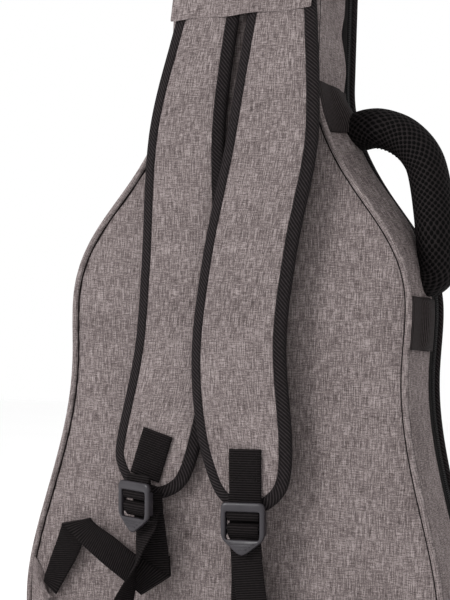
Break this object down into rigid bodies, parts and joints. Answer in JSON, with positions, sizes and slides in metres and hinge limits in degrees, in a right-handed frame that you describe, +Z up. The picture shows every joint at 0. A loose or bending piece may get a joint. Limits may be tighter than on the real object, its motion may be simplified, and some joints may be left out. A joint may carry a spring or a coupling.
{
  "type": "padded guitar gig bag",
  "caption": "Padded acoustic guitar gig bag with hinged zipped lid, shoulder straps on ladderlock buckles, padded side handle and front pocket.",
  "frame": {"origin": "centre of the flat base patch, on the plane that the bag stands on", "axes": "+Z up towards the head end, -Y the back with the shoulder straps, +Y the lid, +X the side with the carry handle"},
  "size_m": [0.424, 0.1722, 1.1352],
  "materials": {
    "melange_fabric": "grey melange woven polyester",
    "foam": "closed-cell foam padding",
    "lining": "soft black lining",
    "piping_fabric": "grey melange piping",
    "binding_tape": "black twill binding tape",
    "webbing": "black ribbed polyester webbing",
    "air_mesh": "black spacer mesh",
    "zip_tape": "black woven zip tape",
    "zip_coil": "black nylon coil",
    "buckle_plastic": "satin dark grey plastic",
    "slider_metal": "dark lacquered zinc",
    "base_rubber": "grained black rubberised fabric"
  },
  "bodies": {
    "root": {"back_outer_fabric": "melange_fabric", "back_foam": "foam", "back_lining": "lining", "back_piping": "piping_fabric", "gusset_outer_fabric": "melange_fabric", "gusset_foam": "foam", "gusset_lining": "lining", "base_patch": "base_rubber", "base_hinge_strip": "melange_fabric", "zip_tape_body_side": "zip_tape", "zip_coil_body_side": "zip_coil", "neck_rest_cushion": "lining", "wing_tab_left": "melange_fabric", "wing_tab_right": "melange_fabric", "strap_left_anchor_webbing": "webbing", "strap_right_anchor_webbing": "webbing", "handle_band_upper": "webbing", "handle_band_lower": "webbing", "strap_yoke": "melange_fabric"},
    "lid": {"front_outer_fabric": "melange_fabric", "front_foam": "foam", "front_lining": "lining", "front_piping": "piping_fabric", "zip_tape_lid_side": "zip_tape", "zip_coil_lid_side": "zip_coil", "pocket_panel": "melange_fabric", "pocket_piping": "piping_fabric", "pocket_zip_tape": "zip_tape", "pocket_zip_coil": "zip_coil"},
    "strap_left": {"strap_left_air_mesh": "air_mesh", "strap_left_foam": "foam", "strap_left_face_fabric": "melange_fabric", "strap_left_binding": "binding_tape", "strap_left_tab_webbing": "webbing"},
    "ladderlock_left": {"ladderlock_left": "buckle_plastic", "strap_left_buckle_loop": "webbing", "strap_left_webbing_tail": "webbing"},
    "strap_right": {"strap_right_air_mesh": "air_mesh", "strap_right_foam": "foam", "strap_right_face_fabric": "melange_fabric", "strap_right_binding": "binding_tape", "strap_right_tab_webbing": "webbing"},
    "ladderlock_right": {"ladderlock_right": "buckle_plastic", "strap_right_buckle_loop": "webbing", "strap_right_webbing_tail": "webbing"},
    "carry_handle": {"handle_mesh_sleeve": "air_mesh", "handle_foam_core": "foam", "handle_webbing": "webbing"},
    "hang_loop": {"hang_loop": "webbing"},
    "zip_slider_upper": {"zip_slider_upper": "slider_metal"},
    "zip_puller_upper": {"zip_puller_upper": "slider_metal"},
    "zip_slider_lower": {"zip_slider_lower": "slider_metal"},
    "zip_puller_lower": {"zip_puller_lower": "slider_metal"},
    "pocket_slider": {"pocket_slider": "slider_metal"},
    "pocket_puller": {"pocket_puller": "slider_metal"}
  },
  "joints": [
    {"name": "lid_hinge", "type": "hinge", "parent": "root", "child": "lid", "pos_m": [0, 0.0579, 0.00325], "axis": [-1, 0, 0], "range_deg": [0, 170]},
    {"name": "strap_right_swing", "type": "hinge", "parent": "root", "child": "strap_right", "pos_m": [0.039, -0.0612, 0.746], "axis": [-1, 0, 0], "range_deg": [0, 25], "deforming": ["strap_right_anchor_webbing"]},
    {"name": "strap_left_swing", "type": "hinge", "parent": "root", "child": "strap_left", "pos_m": [-0.03, -0.0612, 0.746], "axis": [-1, 0, 0], "range_deg": [0, 25], "deforming": ["strap_left_anchor_webbing"]},
    {"name": "ladderlock_left_tilt", "type": "hinge", "parent": "strap_left", "child": "ladderlock_left", "pos_m": [-0.08116, -0.08585, 0.26906], "axis": [-0.913, 0.4067, 0.0319], "range_deg": [0, 42]},
    {"name": "ladderlock_right_tilt", "type": "hinge", "parent": "strap_right", "child": "ladderlock_right", "pos_m": [0.0295, -0.0918, 0.257], "axis": [-0.9994, 0, -0.0349], "range_deg": [0, 60]},
    {"name": "carry_handle_swing", "type": "hinge", "parent": "root", "child": "carry_handle", "pos_m": [0.1332, -0.008, 0.52875], "axis": [0.4706, 0, -0.8824], "range_deg": [-20, 20]},
    {"name": "hang_loop_swing", "type": "hinge", "parent": "root", "child": "hang_loop", "pos_m": [0, -0.013, 1.08025], "axis": [1, 0, 0], "range_deg": [-60, 60]},
    {"name": "zip_slider_upper_slide", "type": "slide", "parent": "root", "child": "zip_slider_upper", "axis": [0, 0, 1], "range_m": [0, 0.12]},
    {"name": "zip_slider_lower_slide", "type": "slide", "parent": "root", "child": "zip_slider_lower", "axis": [0, 0, 1], "range_m": [-0.15, 0]},
    {"name": "zip_puller_upper_flip", "type": "hinge", "parent": "zip_slider_upper", "child": "zip_puller_upper", "pos_m": [-0.07595, 0.0425, 0.8844], "axis": [0, 1, 0], "range_deg": [0, 170]},
    {"name": "zip_puller_lower_flip", "type": "hinge", "parent": "zip_slider_lower", "child": "zip_puller_lower", "pos_m": [-0.07595, 0.0425, 0.8264], "axis": [0, 1, 0], "range_deg": [0, 170]},
    {"name": "pocket_slider_slide", "type": "slide", "parent": "lid", "child": "pocket_slider", "axis": [1, 0, 0], "range_m": [-0.22, 0]},
    {"name": "pocket_puller_swivel", "type": "hinge", "parent": "pocket_slider", "child": "pocket_puller", "pos_m": [0.1089, 0.0675, 0.411], "axis": [0, 1, 0], "range_deg": [-20, 80]}
  ],
  "couplings": [
    {"joint": "strap_left_swing", "follows": "strap_right_swing", "ratio": 1}
  ]
}
